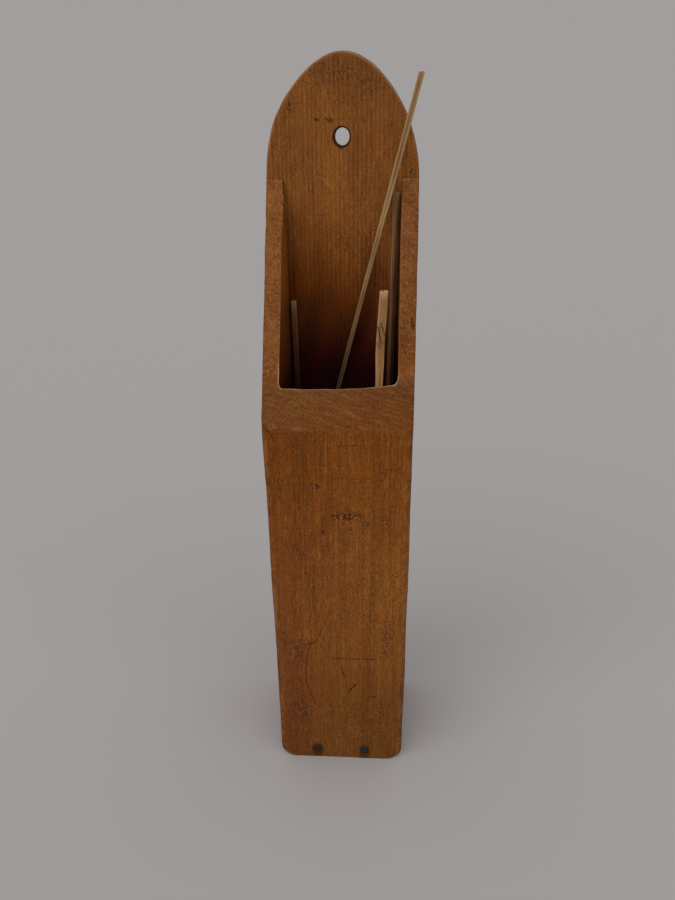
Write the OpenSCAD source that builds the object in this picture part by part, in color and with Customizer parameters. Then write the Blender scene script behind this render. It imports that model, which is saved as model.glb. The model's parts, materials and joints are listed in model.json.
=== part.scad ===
// Wall pocket for wooden spills. One block of wood is dug out to a deep pocket, its back runs up
// to an arched board with a hanging hole, and its mouth is cut on a slant from the board to the lip.
// A nailed plug closes the pocket below, and four loose spills stand in it.
// Millimetres. X is right, Y points to the wall, Z is up; the origin is the middle of the underside.

/* [Block] */
// Height from the underside to the top of the arch
height = 364.5; // [345:0.5:390]
// Width at the shoulders, where the arch starts
shoulder_width = 75; // [72:0.5:82]
// Width at the underside
base_width = 68; // [65:0.5:74]
// Depth from the wall side to the front face
depth = 67; // [62:0.5:74]
// Thickness of the back board
board_thickness = 9.5; // [8:0.5:12]
// Height of the lip, where the slanted cut meets the front face
lip_height = 199; // [185:1:215]
// Radius worn onto the two upright front edges
front_round = 4; // [2:0.5:6]
// Radius of the two lower corners, seen from the front
base_round = 4; // [2:0.5:6]

/* [Arch] */
// Rise of the arch above the shoulders
arch_rise = 56; // [50:0.5:58]
// Radius of the tip of the arch
arch_tip_radius = 23; // [22:0.5:30]
// Diameter of the hanging hole
hole_diameter = 7.5; // [6:0.5:10]
// Distance from the top of the arch down to the middle of the hole
hole_drop = 36.9; // [30:0.1:42]
// Width of the wear around the rims of the hole
hole_flare = 0.6; // [0.3:0.1:1]

/* [Pocket] */
// Thickness of the two side walls
side_wall = 8.4; // [7:0.1:9.5]
// Thickness of the front wall
front_wall = 9; // [7:0.1:11]
// Radius left by the gouge in the right front corner
right_corner_round = 2.5; // [2:0.5:6]
// Radius left by the gouge in the left front corner
left_corner_round = 1.5; // [1:0.5:5]

/* [Base plug and nails] */
// Thickness of the plug
plug_thickness = 12; // [10:0.5:16]
// Space between the plug and the pocket's walls
plug_gap = 0.15; // [0.1:0.05:0.3]
// Height of the nails above the underside
nail_height = 6.3; // [5:0.1:7.5]
// Distance of each front nail from the middle
nail_spread = 13.2; // [8:0.1:16]
// Distance of the side nails behind the middle of the underside
side_nail_set = 4; // [0:0.5:10]
// Diameter of a nail's head
nail_head_diameter = 4.3; // [3.5:0.1:5.5]
// Thickness of a nail's head
nail_head_thickness = 0.9; // [0.6:0.1:1.4]
// Diameter of a nail's shank
nail_diameter = 2; // [1.6:0.1:2.6]
// Length of a nail
nail_length = 23; // [18:1:26]
// Length of a nail's tapered point
nail_point_length = 4; // [3:0.5:6]
// Diameter of a nail's tip
nail_tip_diameter = 0.5; // [0.3:0.1:0.8]

/* [Spills] */
// Space between a spill and what it leans on
spill_gap = 0.4; // [0.3:0.05:0.6]
// Width of the long spill
long_width = 2.6; // [2.2:0.1:3.4]
// Thickness of the long spill
long_thickness = 2.2; // [1.6:0.1:2.6]
// Length of the long spill
long_length = 244; // [210:1:260]
// Lean of the long spill to the right, in degrees
long_lean = 14.8; // [13:0.1:15.5]
// Height of the long spill's foot on the left wall
long_foot_height = 118; // [114:1:140]
// Width of the pale spill
pale_width = 4.2; // [3.6:0.1:5.6]
// Thickness of the pale spill
pale_thickness = 2.6; // [1.8:0.1:3.4]
// Length of the pale spill
pale_length = 253; // [230:1:280]
// Lean of the pale spill to the right, past the right wall's own lean, in degrees
pale_lean = 1.85; // [0:0.05:2.1]
// Distance of the pale spill's foot from the right wall
pale_foot_side = 15.2; // [14.5:0.1:20]
// Distance of the pale spill's foot from the board
pale_foot_depth = 24; // [18:0.5:30]
// Side of the square grey spill
grey_side = 2.8; // [2.4:0.1:3.4]
// Turn of the grey spill about its length, in degrees
grey_turn = 46; // [30:1:60]
// Length of the grey spill
grey_length = 290; // [250:1:300]
// Width of the dark spill
dark_width = 3; // [2.4:0.1:3.8]
// Thickness of the dark spill
dark_thickness = 2.4; // [1.8:0.1:2.8]
// Length of the dark spill
dark_length = 238; // [210:1:260]
// Lean of the dark spill to the left, past the left wall's own lean, in degrees
dark_lean = 0.45; // [0:0.05:0.7]
// Distance of the dark spill's foot from the left wall
dark_foot_side = 4.9; // [4.8:0.1:8]

/* [Hidden] */
$fn = 96;
iron = [0.13, 0.13, 0.12];
// Amount by which a cutting shape passes the face it cuts
over = 1;
// Amount by which a worn round is set out towards its edge
round_set = 0.05;
// Play around a nail in its hole
nail_play = 0.05;
// Height of a spill's foot above the plug
foot_lift = 0.3;
// Steps along the arcs of the outline
corner_steps = 8;
flank_steps = 18;
tip_steps = 14;

back_y = depth / 2;
front_y = -depth / 2;
board_y = back_y - board_thickness;
pocket_y = front_y + front_wall;
pocket_depth = board_y - pocket_y;
shoulder_z = height - arch_rise;
hole_z = height - hole_drop;
// Angle by which each side leans out from the upright
side_lean = atan((shoulder_width - base_width) / 2 / shoulder_z);

// Half of the outer width, and of the pocket's width, at a height
function half_width(z) = base_width / 2 + tan(side_lean) * z;
function half_pocket(z) = half_width(z) - side_wall;
// Height of the slanted cut above a point of the depth
function mouth_z(y) = lip_height + (shoulder_z - lip_height) * (y - front_y) / (board_y - front_y);

// Arch: a tip circle that runs into two flank circles, which start upright at the shoulders
arch_half = shoulder_width / 2;
flank_radius = (arch_half ^ 2 + arch_rise ^ 2 - 2 * arch_tip_radius * arch_rise)
    / (2 * (arch_half - arch_tip_radius));
touch_angle = atan2(arch_rise - arch_tip_radius, flank_radius - arch_half);

// Direction of a spill that leans to the right and to the front
function way(right, front) = [tan(right), -tan(front), 1];
foot_z = plug_thickness + foot_lift;
// Half of the turned grey spill's spread across the pocket, and in depth
grey_half = grey_side / 2 * (cos(grey_turn) + sin(grey_turn));
grey_reach = spill_gap + 2 * grey_half;
dark_reach = spill_gap + dark_thickness;
// The long spill passes in front of the dark spill below and of the grey spill above
long_foot_depth = dark_reach + spill_gap + long_thickness / 2;
long_high_depth = grey_reach + spill_gap + long_thickness / 2;
long_front_lean = atan((long_high_depth - long_foot_depth) / (shoulder_z - long_foot_height));
// The pale spill leans forward until it nearly meets the lip
pale_front_lean = atan((pocket_depth - spill_gap - pale_thickness / 2 - pale_foot_depth)
    / (mouth_z(pocket_y) - foot_z));

// Points along an arc, from its first step on
function arc(centre, radius, from, to, steps, first = 0) = [
    for (i = [first : steps])
        let (angle = from + (to - from) * i / steps)
            centre + radius * [cos(angle), sin(angle)]
];

// Right half of the outline, seen from the front: lower corner, flank and tip, up to the top
corner_x = half_width(base_round) - base_round / cos(side_lean);
right_half = concat(
    arc([corner_x, base_round], base_round, -90, -side_lean, corner_steps),
    arc([arch_half - flank_radius, shoulder_z], flank_radius, 0, touch_angle, flank_steps),
    arc([0, height - arch_tip_radius], arch_tip_radius, touch_angle, 90, tip_steps, 1)
);
left_half = [for (i = [len(right_half) - 2 : -1 : 0]) [-right_half[i].x, right_half[i].y]];

// Everything in front of the board and above the slanted cut
module slant_cut() {
    outer_y = front_y - 2 * over;
    translate([-shoulder_width, 0, 0])
        rotate([90, 0, 90])
            linear_extrude(2 * shoulder_width)
                polygon([
                    [board_y, shoulder_z], [board_y, height + over],
                    [outer_y, height + over], [outer_y, mouth_z(outer_y)]
                ]);
}

// Bar along an upright edge on the right, hollowed to the given radius; y grows away from the front.
// The round is set out by a little, so that it meets both faces at a slight angle, as wear does
module hollowed_bar(radius, length) {
    centre = radius - round_set;
    difference() {
        translate([-centre, -over, 0])
            cube([centre + over, centre + over, length]);
        translate([-centre, centre, -over])
            cylinder(r = radius, h = length + 2 * over);
    }
}

// The same bar on either side, leaning with the sides of the block
module edge_bar(side, half, y, radius) {
    mirror([side < 0 ? 1 : 0, 0, 0])
        translate([half, y, 0])
            rotate([0, side_lean, 0])
                translate([0, 0, -2 * over])
                    hollowed_bar(radius, shoulder_z + 4 * over);
}

// Space dug out of the block, drawn in by a gap on every wall
module pocket(gap) {
    low = -over;
    high = shoulder_z + over;
    difference() {
        translate([0, board_y - gap, 0])
            rotate([90, 0, 0])
                linear_extrude(pocket_depth - 2 * gap)
                    polygon([
                        [gap - half_pocket(low), low], [half_pocket(low) - gap, low],
                        [half_pocket(high) - gap, high], [gap - half_pocket(high), high]
                    ]);
        edge_bar(1, half_pocket(0) - gap, pocket_y + gap, right_corner_round);
        edge_bar(-1, half_pocket(0) - gap, pocket_y + gap, left_corner_round);
    }
}

// Hanging hole with worn rims
module hanging_hole() {
    radius = hole_diameter / 2;
    translate([0, board_y, hole_z])
        rotate([-90, 0, 0]) {
            translate([0, 0, -over])
                cylinder(r = radius, h = board_thickness + 2 * over);
            cylinder(r1 = radius + hole_flare, r2 = radius, h = hole_flare);
            translate([0, 0, board_thickness - hole_flare])
                cylinder(r1 = radius, r2 = radius + hole_flare, h = hole_flare);
        }
}

// Nail with its head at the origin, driven along Z, grown by the play for its hole
module nail(play) {
    radius = nail_diameter / 2;
    tip_radius = nail_tip_diameter / 2;
    shank = nail_length - nail_point_length;
    translate([0, 0, -play])
        cylinder(d = nail_head_diameter + 2 * play, h = nail_head_thickness + 2 * play);
    cylinder(r = radius + play, h = shank);
    translate([0, 0, shank])
        cylinder(r1 = radius + play, r2 = tip_radius + play, h = nail_point_length + play);
}

module front_nail(side, play = 0) {
    translate([side * nail_spread, front_y, nail_height])
        rotate([-90, 0, 0])
            nail(play);
}

module side_nail(side, play = 0) {
    translate([side * half_width(nail_height), side_nail_set, nail_height])
        rotate([0, -side * 90, 0])
            nail(play);
}

module front_nail_right() {
    color(iron)
        front_nail(1);
}

module front_nail_left() {
    color(iron)
        front_nail(-1);
}

module side_nail_right() {
    color(iron)
        side_nail(1);
}

module side_nail_left() {
    color(iron)
        side_nail(-1);
}

module nail_holes() {
    for (side = [-1, 1]) {
        front_nail(side, nail_play);
        side_nail(side, nail_play);
    }
}

module carved_body() {
    color([0.45, 0.26, 0.11])
        difference() {
            translate([0, back_y, 0])
                rotate([90, 0, 0])
                    linear_extrude(depth)
                        polygon(concat(right_half, left_half));
            slant_cut();
            pocket(0);
            for (side = [-1, 1])
                edge_bar(side, half_width(0), front_y, front_round);
            hanging_hole();
            nail_holes();
        }
}

module base_plug() {
    color([0.40, 0.25, 0.13])
        difference() {
            intersection() {
                pocket(plug_gap);
                translate([-base_width / 2, front_y, 0])
                    cube([base_width, depth, plug_thickness]);
            }
            nail_holes();
        }
}

// Straight stick that stands on its foot and points along the given direction
module spill(foot, direction, width, thickness, length, turn = 0) {
    polar = acos(direction.z / norm(direction));
    azimuth = atan2(direction.y, direction.x);
    translate(foot)
        rotate([0, 0, azimuth])
            rotate([0, polar, 0])
                rotate([0, 0, turn - azimuth])
                    translate([-width / 2, -thickness / 2, 0])
                        cube([width, thickness, length]);
}

module long_spill() {
    foot_x = -half_pocket(long_foot_height) + spill_gap + long_width / 2;
    color([0.66, 0.52, 0.32])
        spill([foot_x, board_y - long_foot_depth, long_foot_height],
            way(long_lean, long_front_lean), long_width, long_thickness, long_length);
}

module pale_spill() {
    foot_x = half_pocket(foot_z) - pale_foot_side;
    color([0.74, 0.58, 0.36])
        spill([foot_x, board_y - pale_foot_depth, foot_z],
            way(side_lean + pale_lean, pale_front_lean), pale_width, pale_thickness, pale_length);
}

module grey_spill() {
    foot_x = half_pocket(foot_z) - spill_gap - grey_half;
    color([0.47, 0.38, 0.27])
        spill([foot_x, board_y - spill_gap - grey_half, foot_z],
            way(side_lean, 0), grey_side, grey_side, grey_length, grey_turn);
}

module dark_spill() {
    foot_x = dark_foot_side - half_pocket(foot_z);
    color([0.42, 0.33, 0.22])
        spill([foot_x, board_y - spill_gap - dark_thickness / 2, foot_z],
            way(-side_lean - dark_lean, 0), dark_width, dark_thickness, dark_length);
}

carved_body();
base_plug();
front_nail_right();
front_nail_left();
side_nail_right();
side_nail_left();
long_spill();
pale_spill();
grey_spill();
dark_spill();
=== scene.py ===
import json
from types import SimpleNamespace as Values
import bmesh
import bpy
import numpy as np
from mathutils import Matrix, Vector


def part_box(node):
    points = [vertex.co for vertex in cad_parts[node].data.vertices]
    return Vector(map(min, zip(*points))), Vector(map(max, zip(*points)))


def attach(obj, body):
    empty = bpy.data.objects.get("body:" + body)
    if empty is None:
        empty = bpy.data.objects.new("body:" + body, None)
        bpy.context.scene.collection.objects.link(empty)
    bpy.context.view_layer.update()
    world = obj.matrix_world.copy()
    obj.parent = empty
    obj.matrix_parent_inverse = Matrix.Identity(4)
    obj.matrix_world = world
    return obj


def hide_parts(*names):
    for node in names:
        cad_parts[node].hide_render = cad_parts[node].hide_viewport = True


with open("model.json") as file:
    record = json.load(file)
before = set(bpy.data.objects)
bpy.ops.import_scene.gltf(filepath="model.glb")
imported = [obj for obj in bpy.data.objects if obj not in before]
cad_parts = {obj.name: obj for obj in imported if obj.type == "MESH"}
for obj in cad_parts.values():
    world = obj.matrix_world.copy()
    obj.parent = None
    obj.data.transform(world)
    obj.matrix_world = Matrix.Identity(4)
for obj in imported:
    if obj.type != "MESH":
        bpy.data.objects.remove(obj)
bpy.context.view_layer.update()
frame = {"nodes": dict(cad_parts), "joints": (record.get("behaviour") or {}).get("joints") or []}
mm = 0.001  # shapes and patterns below are worked out in millimetres
print("frame loaded,", len(frame["nodes"]), "nodes")


# helpers for shapes

def spread(low, high, coarse, fine, reach):
    # points whose spacing grows from fine at both ends to coarse past reach
    t = np.linspace(low, high, 4001)
    near = np.clip(np.minimum(t - low, high - t) / reach, 0, 1)
    dense = 1 / (fine + (coarse - fine) * near)
    count = np.append(0, np.cumsum((dense[1:] + dense[:-1]) / 2 * np.diff(t)))
    even = np.linspace(0, count[-1], int(np.ceil(count[-1])) + 1)
    return np.interp(even, count, t)


def patch(x, y, z):
    # one grid of points from three arrays laid over the same rows and columns
    return np.stack(np.broadcast_arrays(x, y, z), -1).astype(float)


def roundMax(a, b, radius):
    # the larger of two distances, with a quarter round of that radius where both are near zero
    corner = np.hypot(np.maximum(radius + a, 0), np.maximum(radius + b, 0))
    return np.minimum(np.maximum(a, b), -radius) + corner


def smooth(value, low, high):
    # eased step from 0 at low to 1 at high
    t = np.clip((value - low) / (high - low), 0, 1)
    return t * t * (3 - 2 * t)


def bell(value, middle, reach):
    # one at the middle, falling off like a bell over reach
    return np.exp(-((value - middle) / reach) ** 2)


def waves(points, count, length, seed):
    # sines about as long as length in random directions, summed to a spread near one
    draw = np.random.default_rng(seed)
    way = draw.normal(size=(count, 3))
    way *= (2 * np.pi / length * draw.uniform(0.6, 1.5, count) / np.linalg.norm(way, axis=1))[:, None]
    return np.sin(points @ way.T + draw.uniform(0, 2 * np.pi, count)).sum(1) * np.sqrt(2 / count)


def settle(points, field, rounds=5, step=0.01, reach=1.5):
    # each point walks down the slope of a distance field until it lies on its zero surface
    for _ in range(rounds):
        here = field(points)
        slope = np.stack([(field(points + step * axis) - here) / step for axis in np.eye(3)], -1)
        walk = here / np.maximum((slope ** 2).sum(1), 0.25)
        points = points - np.clip(walk, -reach, reach)[:, None] * slope
    return points


def addObject(name, data):
    made = bpy.data.objects.new(name, data)
    bpy.context.scene.collection.objects.link(made)
    return made


def weld(name, patches, field=None):
    # grids side by side, settled on a field, merged where they meet and turned outwards
    points = np.concatenate([grid.reshape(-1, 3) for grid in patches])
    sizes = [grid.shape[0] * grid.shape[1] for grid in patches]
    quads = []
    for grid, start in zip(patches, np.cumsum([0] + sizes)):
        number = start + np.arange(grid.shape[0] * grid.shape[1]).reshape(grid.shape[:2])
        ring = (number[:-1, :-1], number[:-1, 1:], number[1:, 1:], number[1:, :-1])
        quads.append(np.stack(ring, -1).reshape(-1, 4))
    quads = np.concatenate(quads)
    if field is not None:
        points = settle(points, field)
    mesh = bpy.data.meshes.new(name)
    mesh.vertices.add(len(points))
    mesh.vertices.foreach_set("co", (points * mm).ravel())
    mesh.loops.add(quads.size)
    mesh.loops.foreach_set("vertex_index", quads.ravel())
    mesh.polygons.add(len(quads))
    mesh.polygons.foreach_set("loop_start", np.arange(len(quads)) * 4)
    mesh.update(calc_edges=True)
    joined = bmesh.new()
    joined.from_mesh(mesh)
    bmesh.ops.remove_doubles(joined, verts=joined.verts, dist=0.003 * mm)
    bmesh.ops.recalc_face_normals(joined, faces=joined.faces)
    joined.to_mesh(mesh)
    joined.free()
    mesh.polygons.foreach_set("use_smooth", np.ones(len(mesh.polygons), bool))
    return addObject(name, mesh)


def pointsOf(mesh):
    points = np.empty(len(mesh.vertices) * 3)
    mesh.vertices.foreach_get("co", points)
    return points.reshape(-1, 3) / mm


def keepValue(piece, name, value):
    # one number per point, for a material to read
    layer = piece.data.attributes.new(name, "FLOAT", "POINT")
    layer.data.foreach_set("value", value.astype(np.float32))


def finishPiece(piece, node, body, material):
    piece.data.materials.append(material)
    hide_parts(node)
    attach(piece, body)
    print(piece.name, "stands for", node, "with", len(piece.data.polygons), "faces")


# helpers for materials

class Wire:
    # a socket that can stand in sums: each operator adds a Math node

    def __init__(self, tree, socket=None):
        self.tree = tree
        self.socket = socket

    def add(self, kind, settings, sockets, out=0):
        # any node: its settings first, then the values or links of its sockets
        made = self.tree.nodes.new("ShaderNode" + kind)
        for key, value in settings.items():
            setattr(made, key, value)
        for key, value in sockets.items():
            if isinstance(value, Wire):
                self.tree.links.new(value.socket, made.inputs[key])
            else:
                made.inputs[key].default_value = value
        return Wire(self.tree, made.outputs[out])

    def finish(self, kind, shader):
        end = self.tree.nodes.new("ShaderNodeOutput" + kind)
        self.tree.links.new(shader.socket, end.inputs["Surface"])

    def sum(self, operation, *values):
        return self.add("Math", {"operation": operation}, dict(enumerate(values)))

    def __add__(self, other):
        return self.sum("ADD", self, other)

    def __sub__(self, other):
        return self.sum("SUBTRACT", self, other)

    def __rsub__(self, other):
        return self.sum("SUBTRACT", other, self)

    def __mul__(self, other):
        return self.sum("MULTIPLY", self, other)

    def __truediv__(self, other):
        return self.sum("DIVIDE", self, other)

    def __pow__(self, other):
        return self.sum("POWER", self, other)

    __radd__ = __add__
    __rmul__ = __mul__

    def larger(self, other):
        return self.sum("MAXIMUM", self, other)

    def clear(self):
        # kept between nought and one
        return self.sum("MINIMUM", self.larger(0.0), 1.0)

    def wave(self):
        return self.sum("SINE", self)

    def ease(self, low, high):
        # eased step from 0 at low to 1 at high
        ends = {"Value": self, "From Min": low, "From Max": high}
        return self.add("MapRange", {"interpolation_type": "SMOOTHSTEP"}, ends)

    def stretch(self, x, y, z):
        # coordinates for a pattern whose features are about x by y by z millimetres
        return self.add("Mapping", {}, {"Vector": self, "Scale": (1 / x, 1 / y, 1 / z)})

    def noise(self, detail=2.0, rough=0.5):
        sockets = {"Vector": self, "Scale": 1.0, "Detail": detail, "Roughness": rough}
        return self.add("TexNoise", {}, sockets)

    def noiseAlong(self, detail=2.0, rough=0.5):
        # noise along one number
        sockets = {"W": self, "Scale": 1.0, "Detail": detail, "Roughness": rough}
        return self.add("TexNoise", {"noise_dimensions": "1D"}, sockets)

    def combine(self, y, z):
        # three numbers as one place
        return self.add("CombineXYZ", {}, {0: self, 1: y, 2: z})

    def tint(self, first, second, share):
        # a colour between two others
        return self.add("Mix", {"data_type": "RGBA"}, {0: share, 6: first, 7: second}, 2)

    def coats(self, tones, **shares):
        # this colour under others, each with its share, in the order given
        colour = self
        for name, share in shares.items():
            colour = self.tint(colour, shade(*tones[name]), share)
        return colour

    def shaded(self, factor):
        # a colour made lighter or darker
        return self.add("VectorMath", {"operation": "SCALE"}, {0: self, 3: factor})

    def value(self, name):
        return self.add("Attribute", {"attribute_name": name}, {}, 2)


def shade(red, green, blue):
    # a colour as a screen shows it, made linear
    screen = np.array([red, green, blue]) / 255
    linear = np.where(screen < 0.04045, screen / 12.92, ((screen + 0.055) / 1.055) ** 2.4)
    return (*linear.tolist(), 1.0)


def emptyTree(owner):
    owner.use_nodes = True
    owner.node_tree.nodes.clear()
    return Wire(owner.node_tree)


def newMaterial(name):
    # an empty material and its place on the piece in millimetres, whole and along each axis
    made = bpy.data.materials.new(name)
    start = emptyTree(made)
    metres = start.add("TexCoord", {}, {}, "Object")
    place = metres.add("Mapping", {}, {"Vector": metres, "Scale": (1 / mm,) * 3})
    split = place.add("SeparateXYZ", {}, {0: place})
    outputs = split.socket.node.outputs
    return made, place, [Wire(made.node_tree, outputs[i]) for i in range(3)]


def finishMaterial(made, colour, rough, height, depth, fixed=None):
    # Principled shader with a bump of that depth in millimetres; fixed holds plain socket values
    start = Wire(made.node_tree)
    bump = start.add("Bump", {}, {"Height": height, "Distance": depth * mm, "Strength": 1.0})
    sockets = {"Base Color": colour, "Roughness": rough, "Normal": bump, **(fixed or {})}
    start.finish("Material", start.add("BsdfPrincipled", {}, sockets))
    return made


# block: one piece of wood, dug out, with an arched board and a slanted mouth

block = Values(
    baseWidth=68, boardThickness=9.5, lipHeight=199, archRise=56, tipRadius=23,
    sideWall=8.4, frontWall=9, holeDrop=36.9, holeWide=3.75, holeTall=4.15,
    # the arch's flanks are fuller than their circles, and its tip is a little narrower
    swellLeft=0.65, swellRight=0.2, swellZ=337, swellReach=10,
    pinch=0.5, pinchX=11.5, pinchReach=5.5, pinchZ=(335, 350),
    # the left wall swells at the lip, and both walls are dug unevenly
    fullLeft=0.42, fullZ=192, fullReach=17,
    dugRight=0.28, dugLip=0.42, dugZ=214, dugReach=16,
    dugLeft=0.28, dugLeftZ=(256, 232), leftTop=0.55, leftTopZ=(278, 300),
    # the lip's inner edge is bowed, and thicker to the right
    lipBow=0.85, lipBowMiddle=-14, lipThicker=0.19,
    # rounds: the front's arris is sharper along the bottom, and the rim is rounder at the lip
    cornerRound=5.3, frontRound=4, bottomRound=1, bottomHalf=24, bottomRise=0.6, bottomZ=(1, 6),
    rimRound=1.1, lipRound=1.4, lipRoundFrom=4, lipRoundTo=2, mouthRound=0.45,
    archRound=1.6, backRound=1.2, holeRound=0.7, leftCorner=1.5, rightCorner=2.5,
    # waves of the hand-worked faces: height and length
    longWave=(0.11, 55), shortWave=(0.03, 9), waveCount=16, seed=7,
)
# grids here and below: spacing in the middle, at both ends, and how far that reaches in
blockGrid = Values(
    wall=(0.13, 0.045, 0.3), across=(0.052, 0.009, 0.12), toLip=(0.11, 0.04, 0.33),
    toBoard=(0.027, 0.009, 0.09), board=(1.0, 0.45, 3), toArch=(0.045, 0.014, 0.15),
    rise=(0.0065, 0.0017, 0.03), riseIn=(0.0085, 0.002, 0.03), archSteps=84,
)

low, high = (np.array(corner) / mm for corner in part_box("carved_body"))
halfShoulder = (high[0] - low[0]) / 2
frontY, backY, topZ = low[1], high[1], high[2]
boardY = backY - block.boardThickness
pocketY = frontY + block.frontWall
shoulderZ = topZ - block.archRise
holeZ = topZ - block.holeDrop
sideSlope = (halfShoulder - block.baseWidth / 2) / shoulderZ
slant = np.array([block.lipHeight - shoulderZ, boardY - frontY])
slant /= np.linalg.norm(slant)
# the arch is a tip circle that runs into two flank circles
tipZ = topZ - block.tipRadius
flankRadius = (halfShoulder ** 2 + block.archRise ** 2 - 2 * block.tipRadius * block.archRise)
flankRadius /= 2 * (halfShoulder - block.tipRadius)
flankX = halfShoulder - flankRadius
touchAngle = np.arctan2(block.archRise - block.tipRadius, -flankX)
nailMiddle = np.mean(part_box("front_nail_right"), 0) / mm


def halfWidth(z):
    return block.baseWidth / 2 + sideSlope * z


def halfPocket(z):
    return halfWidth(z) - block.sideWall


def mouthZ(y):
    return block.lipHeight + (shoulderZ - block.lipHeight) * (y - frontY) / (boardY - frontY)


def lipBow(x):
    # how far the pocket's front face stands back from a straight line
    return block.lipBow * ((x - block.lipBowMiddle) / halfShoulder) ** 2 + block.lipThicker


def pocketFront(share):
    # that face in plan, with a fillet at each end; share runs from -1 to 1 across it
    half = halfPocket(mouthZ(pocketY))
    corner = np.where(share > 0, block.rightCorner, block.leftCorner)
    past = np.clip(np.abs(share) * half - half + corner, 0, corner)
    return pocketY + lipBow(share * half) + corner - np.sqrt(corner ** 2 - past ** 2)


# dents in the front: across, height, radius, depth
dents = np.array([
    (-10.6, 169, 1.5, 0.3), (-9, 170.5, 1, 0.25), (-1, 155, 1.3, 0.25), (3, 153, 1.5, 0.3),
    (6, 154.5, 1.6, 0.35), (9.5, 153, 1.4, 0.3), (13, 150, 1.3, 0.2), (6, 146, 1.5, 0.2),
    (-8, 144, 1.2, 0.25), (-19.5, 118, 1.2, 0.25), (6.2, 121, 1.2, 0.25), (-13, 128, 1, 0.2),
    (-13.4, 110, 1, 0.2), (20, 178, 1.6, 0.2), (-24, 150, 1.6, 0.2), (24, 90, 2, 0.2),
    (-24, 95, 1.8, 0.2), (15, 43.3, 1.4, 0.2), (6.4, 48.8, 1.5, 0.3), (-16, 77.5, 1.5, 0.3),
])
# bites out of the arrises: place, radius, depth
bites = np.array([
    (35.6, -10, 244, 2.2, 0.9), (-34.5, -33, 197, 2, 0.6), (36.2, 6, 268, 1.6, 0.5),
    (-37, 14, 288, 1.8, 0.5), (35.5, -32.5, 150, 2.6, 0.6), (-35, -33, 120, 2.4, 0.6),
    (34.5, -33, 60, 2.2, 0.6), (-35.6, -32, 70, 2.2, 0.5), (-30, 25, 341, 1.6, 0.25),
    (27, 25, 347, 1.8, 0.25), (36.6, 24, 312, 1.6, 0.4),
])


def blockField(points, worn=1):
    # distance to the block's wood: a trough and a board, each the rounded meeting of its faces,
    # less the hanging hole, with slow waves, dents and bites added; worn 0 leaves every arris sharp
    x, y, z = points.T
    side = np.abs(x)
    flank = np.hypot(side - flankX, z - shoulderZ) - flankRadius
    tip = np.hypot(x, z - tipZ) - block.tipRadius
    crown = np.where(z - tipZ > np.tan(touchAngle) * side, tip, flank)
    swell = np.where(x < 0, block.swellLeft, block.swellRight)
    crown = crown - swell * bell(z, block.swellZ, block.swellReach)
    pinch = bell(side, block.pinchX, block.pinchReach) * smooth(z, *block.pinchZ)
    crown = crown + block.pinch * pinch
    full = block.fullLeft * bell(z, block.fullZ, block.fullReach) * (x < 0)
    outline = np.where(z > shoulderZ, crown, side - halfWidth(z) - full)
    outline = roundMax(outline, -z, block.cornerRound)
    pastHalf = np.maximum(side - block.bottomHalf, 0)
    upright = smooth(z + pastHalf * block.bottomRise, *block.bottomZ)
    arris = block.bottomRound + (block.frontRound - block.bottomRound) * upright
    slope = slant[0] * (y - frontY) + slant[1] * (z - block.lipHeight)
    atLip = smooth(y, pocketY + block.lipRoundFrom, frontY + block.lipRoundTo)
    rim = block.rimRound + (block.lipRound - block.rimRound) * atLip
    corner = np.where(x > 0, block.rightCorner, block.leftCorner)
    dugRight = block.dugRight + block.dugLip * bell(z, block.dugZ, block.dugReach)
    dugLeft = block.dugLeft * smooth(z, *block.dugLeftZ)
    dugLeft = dugLeft - block.leftTop * smooth(z, *block.leftTopZ)
    dug = np.where(x > 0, dugRight, dugLeft)
    pocket = roundMax(side - halfPocket(z) - dug, pocketY + lipBow(x) - y, corner)
    trough = roundMax(outline, frontY - y, worn * arris)
    trough = roundMax(trough, slope, worn * rim)
    trough = roundMax(trough, -pocket, worn * block.mouthRound)
    trough = roundMax(trough, y - backY, worn * block.backRound)
    board = roundMax(outline, boardY - y, worn * block.archRound)
    board = roundMax(board, y - backY, worn * block.backRound)
    hole = (np.hypot(x / block.holeWide, (z - holeZ) / block.holeTall) - 1) * block.holeWide
    wood = roundMax(np.minimum(board, trough), -hole, worn * block.holeRound)
    for number, (height, length) in enumerate([block.longWave, block.shortWave]):
        wood = wood + height * waves(points, block.waveCount, length, block.seed + number)
    onFront = y < frontY + 3
    apart = (x[:, None] - dents[:, 0]) ** 2 + (z[:, None] - dents[:, 1]) ** 2
    wood = wood + onFront * (dents[:, 3] * np.exp(-apart / dents[:, 2] ** 2)).sum(1)
    apart = ((points[:, None] - bites[:, :3]) ** 2).sum(2)
    wood = wood + (bites[:, 4] * np.exp(-apart / bites[:, 3] ** 2)).sum(1)
    return np.maximum(wood, -z)


def archPoints(steps):
    # even steps along the right flank, the tip and the left flank; returns across and height
    flankLength = flankRadius * touchAngle
    tipLength = block.tipRadius * (np.pi / 2 - touchAngle)
    s = np.linspace(0, 2 * (flankLength + tipLength), steps + 1)
    half = np.minimum(s, s[-1] - s)
    onFlank = half < flankLength
    angle = np.where(onFlank, half / flankRadius, touchAngle + (half - flankLength) / block.tipRadius)
    radius = np.where(onFlank, flankRadius, block.tipRadius)
    x = np.where(onFlank, flankX, 0) + radius * np.cos(angle)
    z = np.where(onFlank, shoulderZ, tipZ) + radius * np.sin(angle)
    return np.where(s > s[-1] / 2, -x, x), z


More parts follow.
